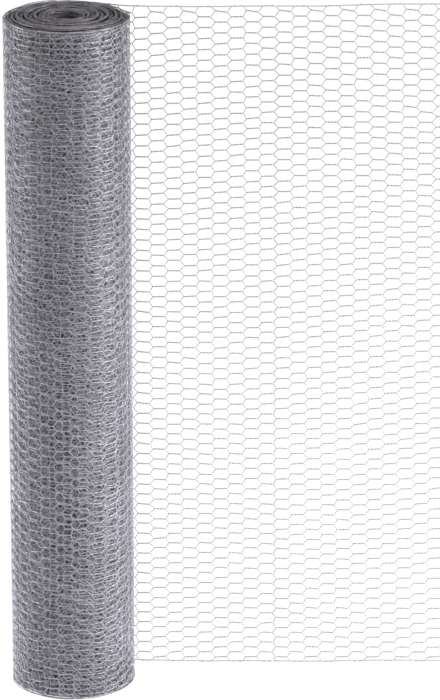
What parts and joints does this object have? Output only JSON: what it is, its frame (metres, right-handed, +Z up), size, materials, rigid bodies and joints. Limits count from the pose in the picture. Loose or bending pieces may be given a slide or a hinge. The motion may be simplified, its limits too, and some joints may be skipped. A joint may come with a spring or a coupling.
{
  "type": "roll of chicken wire",
  "caption": "Roll of galvanised hexagonal wire netting standing on its end, with its last stretch unrolled beside it.",
  "frame": {"origin": "on the roll's axis, in the plane of its bottom end", "axes": "+Z up along the roll's axis, +X along the unrolled stretch, +Y towards the back, where the netting leaves the roll"},
  "size_m": [0.6538, 0.1778, 1.004],
  "materials": {
    "galvanised_wire": "dull hot-dip zinc"
  },
  "bodies": {
    "root": {"roll": "galvanised_wire", "netting_1": "galvanised_wire", "netting_2": "galvanised_wire", "netting_3": "galvanised_wire", "netting_4": "galvanised_wire", "netting_5": "galvanised_wire", "netting_6": "galvanised_wire"}
  },
  "joints": []
}
